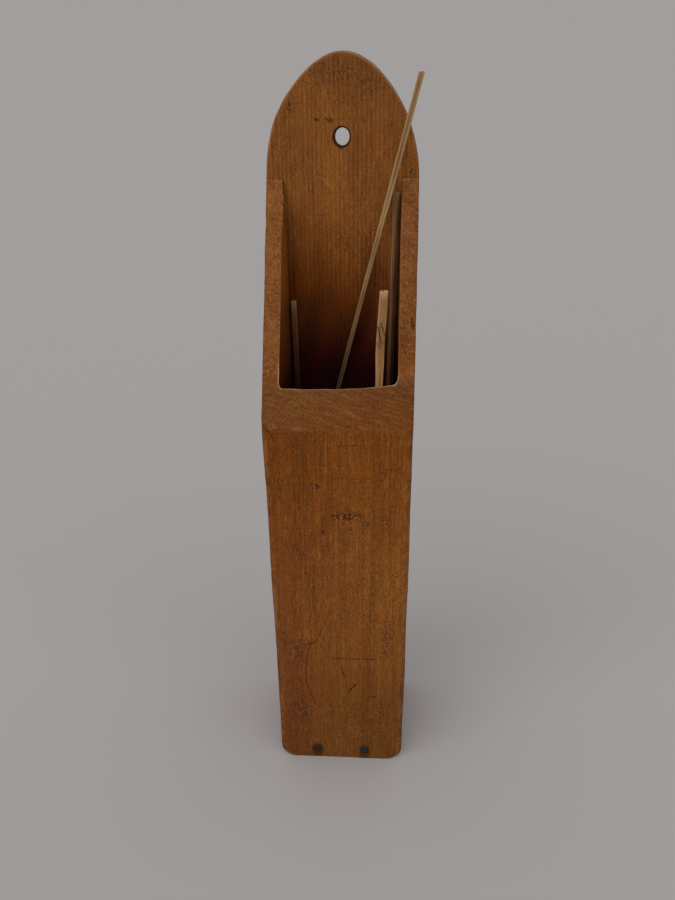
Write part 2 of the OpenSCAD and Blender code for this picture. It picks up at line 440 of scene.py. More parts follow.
def blockPatches():
    # each face of the block as a grid; neighbours share their border points
    wall = spread(0, 1, *blockGrid.wall)
    inner = spread(-1, 1, *blockGrid.across)
    share = np.concatenate([-np.ones(len(wall) - 1), inner, np.ones(len(wall) - 1)])
    wallShare = np.concatenate([wall[:0:-1] * -1, inner * 0, wall[1:]])
    toLip = spread(0, 1, *blockGrid.toLip)
    toBoard = spread(0, 1, *blockGrid.toBoard)
    boardYs = spread(boardY, backY, *blockGrid.board)
    rise = spread(0, 1, *blockGrid.rise)[:, None]
    riseIn = spread(0, 1, *blockGrid.riseIn)[:, None]

    def acrossX(z, a=share, b=wallShare):
        return a * halfPocket(z) + b * block.sideWall

    z = rise * block.lipHeight
    grids = [patch(acrossX(z), frontY, z)]
    z = rise * shoulderZ
    grids += [patch(acrossX(z), backY, z)]
    # slanted lip, the pocket's front face and the board inside it
    lipYs = frontY + toLip[:, None] * (pocketFront(share) - frontY)
    grids += [patch(acrossX(mouthZ(lipYs)), lipYs, mouthZ(lipYs))]
    z = riseIn * mouthZ(pocketFront(inner))
    grids += [patch(inner * halfPocket(z), pocketFront(inner), z)]
    z = riseIn * shoulderZ
    grids += [patch(inner * halfPocket(z), boardY, z)]
    # each side wall: outside, slanted top, inside and underneath
    for side in (-1, 1):
        end = pocketFront(np.float64(side))
        innerYs = end + toBoard * (boardY - end)
        alongYs = np.concatenate([frontY + toLip * (end - frontY), innerYs[1:], boardYs[1:]])
        z = rise * mouthZ(np.minimum(alongYs, boardY))
        grids += [patch(side * halfWidth(z), alongYs, z)]
        z = riseIn * mouthZ(innerYs)
        grids += [patch(side * halfPocket(z), innerYs, z)]
        for z in (mouthZ(innerYs)[:, None], np.zeros((1, 1))):
            grids += [patch(side * acrossX(z, 1, wall), innerYs[:, None], z)]
    # arch: its edge, and rings from the hole out to its outline on both faces
    archX, archZ = archPoints(blockGrid.archSteps)
    grids += [patch(archX, boardYs[:, None], archZ)]
    loopX = np.append(archX, acrossX(shoulderZ)[1:])
    loopZ = np.append(archZ, np.full(len(share) - 1, shoulderZ))
    angle = np.arctan2(loopZ - holeZ, loopX)
    holeX = block.holeWide * np.cos(angle)
    holeTop = holeZ + block.holeTall * np.sin(angle)
    out = spread(0, 1, *blockGrid.toArch)[:, None]
    for y in (boardY, backY):
        grids += [patch(holeX + out * (loopX - holeX), y, holeTop + out * (loopZ - holeTop))]
    grids += [patch(holeX, boardYs[:, None], holeTop)]
    return grids + [patch(acrossX(0), lipYs, 0), patch(acrossX(0), boardYs[:, None], 0)]


# wear, and soot with painted shade, in millimetres: an arris is worn, or pale at the mouth with a painted
# highlight, where that much of it is lost
woodWear = Values(
    lostFrom=0.08, lostSpan=0.3, brimSpan=0.13, brimBelow=(1.2, 0.6), brimCheek=0.15, brimLip=(7, 2),
    cutBelow=(0.9, 0.3), cutBack=0.3, mouthMargin=1.1, mouthFront=1, mouthBack=3,
    insideMargin=0.8, insideBack=0.5,
    sootDepth=46, sootRight=2, sootRightX=(0, 22),  # full that far down, a little further on the right
    # the left wall has its own painted shade, and painted light above it
    wallMargin=0.9, wallBack=0.2, wallBelow=(0.2, 1.2), wallSootZ=258, wallSootReach=62,
    rubbedZ=(246, 260), rubbedTopZ=(296, 284),
)


def blockValues(piece):
    # wear is how far an arris is rounded away, and the mouth's pale edge the same, with a painted
    # highlight;
    # cut is one on the slanted wood; soot with painted shade grows down the pocket, painted light above on
    # its left wall
    points = pointsOf(piece.data)
    x, y, z = points.T
    far = woodWear
    lost = -blockField(points, 0)
    below = -(slant[0] * (y - frontY) + slant[1] * (z - block.lipHeight))
    wallOff = np.abs(x) - halfPocket(z)
    atMouth = (wallOff < far.mouthMargin) & (y > pocketY - far.mouthFront) & (y < boardY - far.mouthBack)
    keepValue(piece, "wear", np.clip((lost - far.lostFrom) / far.lostSpan, 0, 1) * ~atMouth)
    lipStart, lipEnd = far.brimLip
    atLip = smooth(y, pocketY + lipStart, pocketY + lipEnd)
    alongLip = far.brimCheek + (1 - far.brimCheek) * atLip
    # the mouth's pale edge: wear with a painted highlight
    brim = np.clip(lost / far.brimSpan, 0, 1) * atMouth * smooth(below, *far.brimBelow)
    keepValue(piece, "brim", brim * alongLip)
    keepValue(piece, "cut", smooth(np.abs(below), *far.cutBelow) * (y < boardY - far.cutBack))
    margin = far.insideMargin
    inside = (wallOff < margin) & (y > pocketY - margin) & (y < boardY + far.insideBack)
    leftWall = inside * (x + halfPocket(z) < far.wallMargin) * (y < boardY - far.wallBack)
    leftWall = leftWall * smooth(below, *far.wallBelow)
    # soot with painted shade, by depth below the mouth
    soot = below / (far.sootDepth + far.sootRight * smooth(x, *far.sootRightX))
    # the left wall's painted shade follows its height instead
    soot = soot + leftWall * ((far.wallSootZ - z) / far.wallSootReach - soot)
    keepValue(piece, "soot", inside * np.clip(soot, 0, 1))
    # painted light on the left wall's upper part
    keepValue(piece, "rubbed", leftWall * smooth(z, *far.rubbedZ) * smooth(z, *far.rubbedTopZ))


# marks on the front and on the board: lines with two ends, a width and a darkness,
# and dots with a place, a radius and a darkness; all places are across and height
frontLines = [
    ((-12.8, 77.8), (-19.7, 75.7), 0.55, 0.95), ((-16.1, 76), (-17.4, 69), 0.42, 0.85),
    ((-17.4, 69), (-18.5, 61), 0.42, 0.9), ((-18.5, 61), (-18.4, 53), 0.42, 0.9),
    ((-18.4, 53), (-17, 46.5), 0.42, 0.9), ((-17, 46.5), (-13.4, 36.4), 0.4, 0.85),
    ((-20, 73.5), (-21.9, 64.5), 0.45, 0.85), ((-12.8, 77.8), (-8.4, 88.4), 0.42, 0.75),
    ((-8.4, 88.4), (-4.6, 99), 0.38, 0.6), ((-4.6, 68), (18.8, 68.4), 0.5, 0.8),
    ((1, 62.5), (2.2, 56), 0.8, 0.8), ((4.2, 46), (8.6, 51.6), 0.65, 0.95),
    ((15.7, 43.2), (21.7, 43.8), 0.6, 0.85), ((0.5, 190.4), (8.4, 190.9), 0.4, 0.6),
    ((5.6, 190.6), (8.2, 190.9), 0.6, 0.8), ((0.3, 180.3), (6.6, 180.4), 0.4, 0.5),
    ((-12.3, 180.1), (-6.5, 180.2), 0.4, 0.4), ((-3.2, 173.4), (16.2, 173.7), 0.4, 0.45),
    ((4, 155.6), (6, 152), 0.7, 0.6), ((-13, 170.2), (-12, 169.2), 0.8, 0.7),
    ((12.5, 151), (15, 148), 0.6, 0.5), ((-8.6, 145), (-7.6, 142.5), 0.7, 0.7),
    ((-31, 184), (-29, 178), 0.4, 0.4), ((-13, 129), (-13.8, 98), 0.28, 0.55),
    ((-34.5, 200), (-31, 194.5), 0.6, 0.8), ((-8, 152), (-8.3, 146), 0.4, 0.5),
    ((24, 104), (24.6, 80), 0.35, 0.4),
]
frontDots = [
    (-13.1, 121, 0.55, 0.8), (-13.4, 112, 0.55, 0.8), (-13.7, 104.5, 0.55, 0.8), (-19.5, 118, 0.6, 0.8),
    (-17.5, 120, 0.5, 0.7), (6.2, 121, 0.6, 0.8), (10, 113, 0.6, 0.5), (-18.8, 100.5, 0.55, 0.8),
    (24.5, 176, 0.7, 0.6), (-15, 52, 0.5, 0.6),
]
boardLines = [
    ((-13.4, 335.2), (-10.6, 334.9), 0.6, 0.8), ((-7.8, 335.9), (-6.4, 335), 0.6, 0.8),
    ((-5.6, 334.4), (-4.4, 333.7), 0.7, 0.85), ((-16.4, 304.6), (-15, 302.6), 0.45, 0.6),
    ((8.6, 356), (8.8, 351), 0.5, 0.6), ((-24.6, 343), (-24.2, 339.6), 0.55, 0.6),
    ((24, 334.5), (23.9, 332), 0.55, 0.6), ((33.6, 312), (34.6, 310.4), 0.8, 0.8),
    ((-3.4, 357.6), (-1, 356), 0.5, 0.5), ((-9, 352), (-9.4, 347), 0.4, 0.4),
    ((9.5, 347), (9.9, 343), 0.4, 0.35), ((-20, 299), (-20.4, 292), 0.4, 0.4),
]
boardDots = [
    (-11.4, 350.4, 0.9, 0.7), (-0.4, 322.4, 0.9, 0.8), (-17.5, 352, 0.6, 0.5), (5, 358.4, 0.6, 0.5),
    (-6, 354.4, 0.7, 0.45), (13.4, 349.6, 0.6, 0.45), (-26.6, 336.4, 0.6, 0.5),
    (19.6, 345.6, 0.5, 0.45), (-31, 318, 0.6, 0.4), (2.6, 352.6, 0.6, 0.4),
]
boardRubs = [
    ((-12.5, 309.2), (-9.6, 308.8), 0.5, 0.22), ((-9.6, 308.8), (-7, 306.9), 0.5, 0.22),
    ((-7, 306.9), (-4.8, 303.6), 0.5, 0.22),
]
frontRubs = [
    ((-5.4, 196), (-5.8, 176), 0.5, 0.12), ((6, 197), (6.3, 180), 0.5, 0.12),
    ((1, 195), (1, 188), 0.5, 0.08),
]
# a notch in the right cheek
notchLines = [((34.8, 246.5), (35.4, 242), 0.8, 1)]
notchDots = [(35.3, 243.2, 1.2, 1)]
# chipped places: across, height, half width, half height, darkness
frontChips = [
    (4, 153, 13, 4, 1), (-10.6, 169.2, 3.4, 2.6, 1), (6, 146, 2.4, 2.6, 0.8), (-8, 144, 1.6, 2, 0.9),
    (14, 149, 4, 2.4, 0.8), (-20, 131.5, 4, 3.4, 0.6), (22, 176, 4, 6, 0.5), (-29, 170, 4, 9, 0.5),
    (-25, 136, 7, 7, 0.5), (24, 150, 6, 9, 0.4), (-24, 72, 7, 16, 0.55), (25, 78, 5, 24, 0.55),
    (-22, 34, 9, 12, 0.65), (24, 36, 7, 9, 0.55),
]
boardChips = [
    (-3, 356, 17, 8, 0.5), (-24.5, 341, 2, 4.5, 0.9), (33.8, 311, 1.8, 1.8, 1),
    (-12, 335.2, 2.6, 1.2, 1), (-5.6, 334.8, 2.8, 1.6, 1), (-0.4, 322.2, 2.4, 1.6, 1),
    (12, 350, 6, 6, 0.45), (-16, 303.5, 1.6, 2, 0.8),
]


def lineMask(x, z, ends, width):
    # one on a straight scratch, fading over its width: distance to the nearest point between its ends
    (ax, az), (bx, bz) = ends
    ux, uz = bx - ax, bz - az
    dx, dz = x - ax, z - az
    along = ((dx * ux + dz * uz) / (ux * ux + uz * uz)).clear()
    ex, ez = dx - along * ux, dz - along * uz
    return ((ex * ex + ez * ez) ** 0.5).ease(width, width * 0.3)


def dotMask(x, z, dot):
    across, height, radius, dark = dot
    dx, dz = x - across, z - height
    return ((dx * dx + dz * dz) ** 0.5).ease(radius, radius * 0.4) * dark


def darkest(x, masks):
    total = x * 0  # nothing yet
    for mask in masks:
        total = total.larger(mask)
    return total


def chipMask(x, z, places):
    # fades from the middle of each ellipse to its edge
    masks = []
    for across, height, wide, tall, dark in places:
        dx, dz = (x - across) / wide, (z - height) / tall
        masks.append(((dx * dx + dz * dz) ** 0.5).ease(1, 0.25) * dark)
    return darkest(x, masks)


def allMarks(x, z, lines, dots=()):
    # the darkest of many scratches and dots
    masks = [lineMask(x, z, (a, b), width) * dark for a, b, width, dark in lines]
    return darkest(x, masks + [dotMask(x, z, dot) for dot in dots])


# colours as a screen shows them
woodTones = dict(
    golden=(119, 71, 24), reddish=(107, 58, 20), band=(94, 50, 18), orange=(110, 55, 0),
    cheek=(112, 58, 18), lip=(126, 66, 0), unwaxed=(84, 56, 36), pore=(88, 42, 16), fibre=(146, 98, 46),
    endGrain=(98, 46, 18), endPale=(160, 108, 66), speck=(62, 29, 10), mark=(40, 18, 7),
    rub=(170, 116, 78), worn=(150, 104, 60), archWorn=(152, 120, 92), cheekEnd=(176, 128, 92),
    # the pale line round the mouth: wear with a painted highlight
    step=(70, 34, 13), brim=(196, 156, 117), holeDirt=(26, 12, 7), nailDirt=(22, 10, 5),
    # the two darkest browns: soot with painted shade down the pocket
    smoke=(84, 38, 0), soot=(42, 2, 0),
)
# where the wood's colour changes, from and to: across (X), in depth (Y) or up (Z)
woodZones = Values(
    pith=(-14, -105),  # of the growth rings, across and in depth
    orangeZ=(110, 190), cheekX=(-20, 30), lipZ=(214, 200), lipX=(-25, 5),
    lipRightX=(0, 25), cheekRightX=(0, 20), archTopZ=(330, 362),
    frontUpperZ=(130, 185), underLipZ=(180, 197), frontLowerZ=(105, 0),
    frontLeftX=(5, -15), leftUpperZ=(150, 185), leftLowerZ=(105, 30),
    lipArrisZ=(190, 196), lipArrisTopZ=(210, 203), lipArrisX=(-25, -5),
    # the long spill's painted shadow on the board, and where painted shade starts on the right
    notchY=(12, 2), sootStreak=((14.5, 260), (8, 228)), sootStreakWide=6, lateSootX=(-18, 14),
)


def woodMarks(place, x, y, z, onFront, onBoard):
    # scratches and dots with ragged outlines, chipped places, and pale rubs
    markX = x + (place.stretch(1.4, 1.4, 1.4).noise(1.0) - 0.5) * 1.6
    markZ = z + (place.stretch(1.1, 1.1, 1.1).noise(1.0) - 0.5) * 1.6
    marks = allMarks(markX, markZ, frontLines, frontDots) * onFront
    marks = marks.larger(allMarks(markX, markZ, boardLines, boardDots) * onBoard)
    marks = marks * place.stretch(1.6, 1.6, 1.6).noise(1.0).ease(0.3, 0.52)
    notch = allMarks(markX, markZ, notchLines, notchDots) * y.ease(*woodZones.notchY)
    chipped = (chipMask(x, z, frontChips) * onFront).larger(chipMask(x, z, boardChips) * onBoard)
    rubs = allMarks(markX, markZ, frontRubs) * onFront
    rubs = rubs.larger(allMarks(markX, markZ, boardRubs) * onBoard)
    return marks.larger(notch), chipped, rubs


def blockWood():
    made, place, (x, y, z) = newMaterial("old_waxed_wood")
    at, tones = woodZones, woodTones
    names = ("wear", "brim", "cut", "soot", "rubbed")
    wear, brim, cut, soot, rubbed = (place.value(name) for name in names)
    along = 1 - cut
    nearFront = y.ease(frontY + 5, frontY + 2)
    onFront = nearFront * along
    onBoard = y.ease(boardY - 2, boardY - 0.6) * y.ease(boardY + 4, boardY + 2)
    onLip = cut * y.ease(pocketY + 4, pocketY)
    # growth rings about a pith in front of the block, wandering with the height
    pithX, pithY = at.pith
    drift = place.stretch(60, 60, 150).noise() * 9
    ring = ((x - pithX) ** 2.0 + (y - pithY) ** 2.0) ** 0.5 + drift
    rings = (ring / 1.9).noiseAlong(2.0, 0.55)
    bands = (ring / 7).noiseAlong(1.0)
    # straight lines left on the board by the tool that flattened it
    lane = x + place.stretch(25, 25, 120).noise() * 1.6
    scraped = ((lane / 1.2).noiseAlong(1.0, 0.5) - 0.5) * 0.3 + (lane * 2.9).wave() * 0.1
    lines = place.stretch(0.85, 0.85, 70).noise(2.0, 0.55)
    fine = place.stretch(0.7, 0.7, 7).noise(2.0, 0.6)
    grit = place.stretch(0.75, 0.75, 0.9).noise(1.0)
    # the slanted wood is cut across its grain: short streaks on the cheeks, long ones on the lip
    cheekGrain = ((x + z * 0.8) / 0.8).combine((x * 0.8 - z) / 2.8, y / 2.8).noise(2.0, 0.65)
    lipGrain = ((x * 0.26 + z) / 1.2).combine((x - z * 0.26) / 11, y / 7).noise(2.0, 0.6)
    hatch = cheekGrain + (lipGrain - cheekGrain) * onLip
    specks = place.stretch(0.9, 0.9, 1.4).noise(1.0)
    cloud = place.stretch(11, 11, 26).noise(3.0, 0.55)
    zone = place.stretch(26, 26, 70).noise(2.0)
    grime = place.stretch(22, 22, 22).noise(2.0)
    blotch = place.stretch(5, 5, 5).noise(2.0, 0.6).ease(0.42, 0.6)
    speck = specks.ease(0.6, 0.7) * grime.ease(0.36, 0.6)
    chips = place.stretch(0.8, 0.8, 1.1).noise(2.0, 0.6)
    marks, chipped, rubs = woodMarks(place, x, y, z, onFront, onBoard)
    # dirt round the hole and under the nails
    holeX, holeY = x / block.holeWide, (z - holeZ + 0.2) / block.holeTall
    hole = (holeX * holeX + holeY * holeY) ** 0.5 + (grime - 0.5) * 0.25
    nailX, nailY = (x * x) ** 0.5 - nailMiddle[0], z - nailMiddle[2]
    hollow = ((nailX * nailX + nailY * nailY) ** 0.5 + (grime - 0.5) * 0.8).ease(2.9, 2.3)
    drip = (nailX * nailX + ((nailY + 1.4) * 0.6) ** 2.0) ** 0.5 + (grime - 0.5) * 3
    stain = (drip.ease(4, 1.8) * 0.7).larger(hollow) * nearFront
    # the wood's own colours
    warm = ((x * -0.035 + 0.1).clear() * onFront + (zone - 0.42) * 1.6).clear()
    colour = place.tint(shade(*tones["golden"]), shade(*tones["reddish"]), warm).coats(
        tones,
        band=bands.ease(0.5, 0.75) * 0.25,
        orange=z.ease(*at.orangeZ) * onFront * 0.6,
        cheek=cut * x.ease(*at.cheekX) * 0.35,
        lip=onLip * z.ease(*at.lipZ) * (0.1 + x.ease(*at.lipX) * 0.6),
        unwaxed=y.ease(backY - 1.5, backY - 0.4) * (0.15 + cloud * 0.5),
        pore=fine.ease(0.45, 0.72) * along * 0.42,
        fibre=fine.ease(0.48, 0.25) * along * 0.35,
        endGrain=hatch.ease(0.48, 0.7) * (cut * 0.6 - onLip * 0.2),
        endPale=hatch.ease(0.5, 0.3) * (cut * 0.35 - onLip * 0.12),
    )
    streak = (lines - 0.5) * (0.8 - cut * 0.6 - onBoard * 0.3)
    streak = streak + (cloud - 0.5) * (0.4 - onLip * 0.3 + onBoard * 0.3)
    streak = streak + (rings - 0.5) * (0.35 - onBoard * 0.25) + scraped * onBoard
    # darker on the lip and the cheeks, at the top of the arch, under the lip and down the front
    level = 1.05 - onLip * (0.24 - x.ease(*at.lipRightX) * 0.05)
    level = level - cut * (0.1 + x.ease(*at.cheekRightX) * 0.1) - z.ease(*at.archTopZ) * 0.17
    level = level - onFront * (z.ease(*at.frontUpperZ) * 0.06 + z.ease(*at.underLipZ) * 0.08)
    level = level - onFront * z.ease(*at.frontLowerZ) * 0.34
    onLeft = z.ease(*at.leftUpperZ) * 0.03 - z.ease(*at.leftLowerZ) * 0.08
    level = level - onFront * x.ease(*at.frontLeftX) * onLeft
    colour = colour.shaded((1 + streak + (grit - 0.5) * (1.1 + cut * 0.6)) * level)
    # marks, arrises that are pale in places and greyer round the arch, a thin step where the cheeks end
    atLip = z.ease(*at.lipArrisZ) * z.ease(*at.lipArrisTopZ) * x.ease(*at.lipArrisX)
    worn = (wear * (0.3 - atLip * 0.25)).larger((cut - onLip * 0.8) * 0.15) * blotch
    outside = (x * x) ** 0.5 - halfPocket(shoulderZ)
    step = z.ease(shoulderZ - 0.3, shoulderZ + 0.2) * z.ease(shoulderZ + 1.3, shoulderZ + 0.5)
    colour = colour.coats(
        tones,
        speck=speck * (along * 0.6 - onBoard * 0.2),
        mark=(marks * 0.85).larger(chipped * chips.ease(0.47, 0.57) * 0.85),
        rub=rubs.larger(chipped * chips.ease(0.46, 0.36) * 0.3),
        worn=worn,
        archWorn=wear * z.ease(shoulderZ + 4, shoulderZ + 16) * 0.45,
        cheekEnd=cut * z.ease(shoulderZ - 1.6, shoulderZ - 0.6) * blotch * 0.3,
        step=step * onBoard * outside.ease(-0.5, 0.2) * 0.35,
        # pale wear and a painted highlight along the mouth's edge
        brim=brim * 0.88,
        holeDirt=hole.ease(1.28, 1.12) * 0.9,
        nailDirt=stain * 0.85,
    )
    # painted shade down the pocket, over its soot, starts lower on the right, and beside the long spill it
    # holds that spill's painted shadow
    # the long spill's shadow, painted on the board
    streaked = lineMask(x, z, at.sootStreak, at.sootStreakWide) * onBoard
    uneven = soot * (1 + (lines - 0.5) * 0.25 + streaked * 0.11)
    late = x.ease(*at.lateSootX) * 0.24
    colour = colour.coats(
        tones,
        smoke=uneven.ease(late - 0.02, late * 0.4 + 0.6) * 0.95,
        soot=uneven.ease(0.48, 0.95),
    )
    # the pocket's bottom is darkened further with painted shade, and painted light lifts the left wall
    # above it
    patchy = (streak * 0.9 + (cloud - 0.5) * 0.9 + (grit - 0.5) * 0.9) * soot.ease(0.1, 0.5)
    colour = colour.shaded((1 + patchy) * (1 - soot.ease(0.8, 1) * 0.3) * (1 + rubbed * 0.36))
    rough = 0.6 + fine * 0.1 + soot * 0.25 + (cloud - 0.5) * 0.2 - wear * 0.08
    height = lines * 0.2 - fine * along * 0.35 + rings * 0.15 + scraped * onBoard * 0.5
    height = height + grit * 0.25 - hatch * cut * 0.5
    height = height - speck * 0.3 - marks.larger(chipped * chips.ease(0.45, 0.6)) * 0.9
    return finishMaterial(made, colour, rough, height, 0.16, {"Specular IOR Level": 0.1})


body = weld("dug_out_block", blockPatches(), blockField)
blockValues(body)
finishPiece(body, "carved_body", "holder", blockWood())


# plug: a let-in board that closes the pocket below

plug = Values(
    gap=0.15, round=0.5, wave=0.05, waveLength=20, waveCount=12, seed=21,
    grid=(1.6, 0.4, 3),
    pith=(30, -60), dark=(92, 56, 26), light=(116, 74, 36), dirt=(40, 22, 12),
)
plugLow, plugHigh = (np.array(corner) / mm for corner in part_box("base_plug"))


def plugField(points):
    # distance to a slab that fills the pocket but for a gap, with its arrises broken
    x, y, z = points.T
    corner = np.where(x > 0, block.rightCorner, block.leftCorner)
    sides = roundMax(np.abs(x) - halfPocket(z), pocketY + lipBow(x) - y, corner) + plug.gap
    sides = roundMax(sides, y - boardY + plug.gap, plug.round)
    ends = np.maximum(plugLow[2] - z, z - plugHigh[2])
    wave = waves(points, plug.waveCount, plug.waveLength, plug.seed)
    wood = roundMax(sides, ends, plug.round) + plug.wave * wave
    return np.maximum(wood, plugLow[2] - z)


def plugPatches():
    # the six faces of a box as grids
    x, y, z = (spread(plugLow[i], plugHigh[i], *plug.grid) for i in range(3))
    grids = [patch(x[:, None], y, edge) for edge in (z[0], z[-1])]
    grids += [patch(x[:, None], edge, z) for edge in (y[0], y[-1])]
    return grids + [patch(edge, y[:, None], z) for edge in (x[0], x[-1])]


def plugWood():
    made, place, (x, y, z) = newMaterial("sawn_plug_wood")
    pithX, pithZ = plug.pith
    ring = ((x - pithX) ** 2.0 + (z - pithZ) ** 2.0) ** 0.5 + place.stretch(40, 80, 40).noise() * 6
    rings = (ring / 2.2).noiseAlong()
    fibre = place.stretch(0.5, 16, 0.5).noise(3.0, 0.6)
    saw = ((y * 0.94 + x * 0.34 + place.stretch(30, 30, 30).noise() * 3) / 1.3).noiseAlong(1.0)
    dirt = place.stretch(16, 16, 16).noise(3.0)
    colour = place.tint(shade(*plug.dark), shade(*plug.light), rings.ease(0.35, 0.65))
    colour = colour.shaded(0.62 + fibre * 0.3 + saw * 0.2 + dirt * 0.2)
    colour = place.tint(colour, shade(*plug.dirt), dirt.ease(0.5, 0.75) * 0.6)
    height = fibre * 0.3 + saw * 0.7
    return finishMaterial(made, colour, 0.62 + dirt * 0.2, height, 0.18, {"Specular IOR Level": 0.25})


floorBoard = weld("let_in_plug", plugPatches(), plugField)
finishPiece(floorBoard, "base_plug", "holder", plugWood())


# nails: hand-cut, their heads a little domed and uneven

nail = Values(
    proud=0.42, dome=0.2, rim=0.45, headThick=0.9, neck=0.6, shankRadius=1.0, point=4, tip=0.22,
    uneven=0.05, askew=0.06, around=40, along=60, seed=30,
    iron=(34, 36, 30), rust=(52, 30, 18),
)


def nailPatch(node, seed):
    # a profile of radius against depth, turned about the nail's axis, with an uneven outline
    near, far = (np.array(corner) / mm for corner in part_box(node))
    middle, size = (near + far) / 2, far - near
    along = int(np.argmax(size))
    inward = -np.sign(middle[along])
    head = size[(along + 1) % 3] / 2
    length = size[along]
    start = middle.copy()
    start[along] = middle[along] - inward * length / 2
    shank, face, under = nail.shankRadius, -nail.proud, nail.headThick
    corners = np.array([
        (0, face), (head * 0.5, face + nail.dome * 0.25), (head * 0.85, face + nail.dome),
        (head, nail.rim * 0.4), (head * 0.96, nail.rim), (shank * 1.4, under),
        (shank, under + nail.neck), (shank, length - nail.point),
        (nail.tip, length - 0.1), (0, length),
    ])
    reach = np.linspace(0, len(corners) - 1, nail.along)
    radius = np.interp(reach, np.arange(len(corners)), corners[:, 0])[:, None]
    depth = np.interp(reach, np.arange(len(corners)), corners[:, 1])[:, None]
    turn = np.linspace(0, 2 * np.pi, nail.around + 1)
    phase = np.random.default_rng(seed).uniform(0, 6, 3)
    uneven = 1 + nail.uneven * (np.sin(2 * turn + phase[0]) + 0.5 * np.sin(5 * turn + phase[1]))
    tilt = nail.askew * radius * np.sin(turn + phase[2]) * (depth < under)
    grid = np.empty((len(reach), len(turn), 3))
    grid[..., along] = start[along] + inward * (depth + tilt)
    grid[..., (along + 1) % 3] = start[(along + 1) % 3] + radius * uneven * np.cos(turn)
    grid[..., (along + 2) % 3] = start[(along + 2) % 3] + radius * uneven * np.sin(turn)
    return grid


def nailIron():
    made, place, _ = newMaterial("rusted_nail_iron")
    scale = place.stretch(0.9, 0.9, 0.9).noise(4.0, 0.65)
    pits = place.stretch(0.35, 0.35, 0.35).noise(2.0)
    rust = scale.ease(0.5, 0.68)
    colour = place.tint(shade(*nail.iron), shade(*nail.rust), rust * 0.7)
    colour = colour.shaded(0.3 + pits * 0.9)
    height = scale * 0.6 + pits * 0.5
    return finishMaterial(made, colour, 0.55 + rust * 0.3, height, 0.12, {"Metallic": 0.4})


nailLook = nailIron()
nails = ["front_nail_right", "front_nail_left", "side_nail_right", "side_nail_left"]
for number, node in enumerate(nails):
    spike = weld("cut_" + node, [nailPatch(node, nail.seed + number)])
    finishPiece(spike, node, "holder", nailLook)


# spills: loose sticks, split or sawn, each with its own section, ends and wood

plainStick = dict(
    turn=0, longer=0, back=0,  # turned about its axis; longer and set further back than its solid
    slim=1, square=0.3, ridge=0,  # section: share of the solid's, squarer when small, ridged in front
    bow=0, kink=(0, 0, 1), wander=0.08,  # sideways: in all, by an amount so far below its top, and slowly
    taper=(-0.05, 0.85, 0.6),  # thinner by a share, between two shares of its length
    end=0.35, tilt=0,  # rounding of its ends, and its top cut askew
    # the last two weigh painted shade: its shadowed half, and its darkening down the pocket
    worn=0.1, edges=0, split=0, cuts=(), shaded=0, grime=0.8,  # strengths of the marks on its wood
)
spills = dict(
    long_spill=dict(
        plainStick, longer=0.8, slim=1.06, bow=-0.3, kink=(0.25, 165, 60), ridge=0.2, tilt=0.25,
        taper=(0.18, 0.85, 0.6), worn=0.15, edges=0.5, split=0.6, grime=0.75,
        light=(156, 124, 84), dark=(118, 88, 56),
    ),
    pale_spill=dict(
        plainStick, back=0.6, slim=0.95, square=0.34, kink=(-0.45, 25, 12), ridge=0.1, tilt=0.12,
        taper=(0.15, 0.88, 0.8), end=0.7, wander=0.16, worn=0.7, edges=0.5,
        light=(150, 112, 73), dark=(108, 74, 41),
        # saw cuts and the pith in its end: two ends, a width and a darkness
        cuts=(
            ((19, 246.6), (20.5, 238.4), 0.45, 0.9), ((20.4, 248.6), (22, 242.8), 0.45, 0.75),
            ((20.9, 263.3), (21.1, 263.3), 0.45, 0.7), ((18.6, 238.9), (19.2, 236.7), 0.45, 0.5),
            ((20, 237.4), (20.1, 235.9), 0.45, 0.45), ((19.8, 248), (20, 246), 0.45, 0.3),
        ),
    ),
    grey_spill=dict(
        plainStick, turn=41, slim=0.87, square=0.2, bow=-1.5, end=0.2, tilt=-0.1, shaded=0.3,
        light=(154, 114, 76), dark=(122, 84, 52),
    ),
    dark_spill=dict(
        plainStick, longer=-1, back=-0.25, square=0.4, bow=-0.1, kink=(-0.3, 20, 60), ridge=0.25, tilt=0.1,
        end=0.9, worn=0.9, edges=0.4, split=0.5, grime=0.93,
        light=(182, 124, 78), dark=(136, 84, 52),
    ),
)
stickGrid = Values(along=(2.2, 0.18, 4), around=40, seed=50)
stickTones = dict(
    rubbed=(176, 138, 100), crack=(92, 54, 30), fleck=(56, 34, 17),
    # the last two are painted shade
    cut=(62, 29, 8), shadow=(46, 26, 14), grime=(27, 10, 4),
)


def stickFrame(node, turn):
    # middle, axis, two section directions and the three sizes of a stick, from its solid and its joint
    lift = Vector(next(j["axis"] for j in frame["joints"] if j["child"] == node)).normalized()
    leaning = np.array(Vector((0, 0, 1)).rotation_difference(lift).to_matrix())
    angle = np.radians(turn)
    wide = leaning @ np.array([np.cos(angle), np.sin(angle), 0])
    axis = leaning[:, 2]
    thick = np.cross(axis, wide)
    corners = pointsOf(frame["nodes"][node].data)
    middle = (corners.min(0) + corners.max(0)) / 2
    return middle, axis, wide, thick, [np.ptp(corners @ way) for way in (axis, wide, thick)]


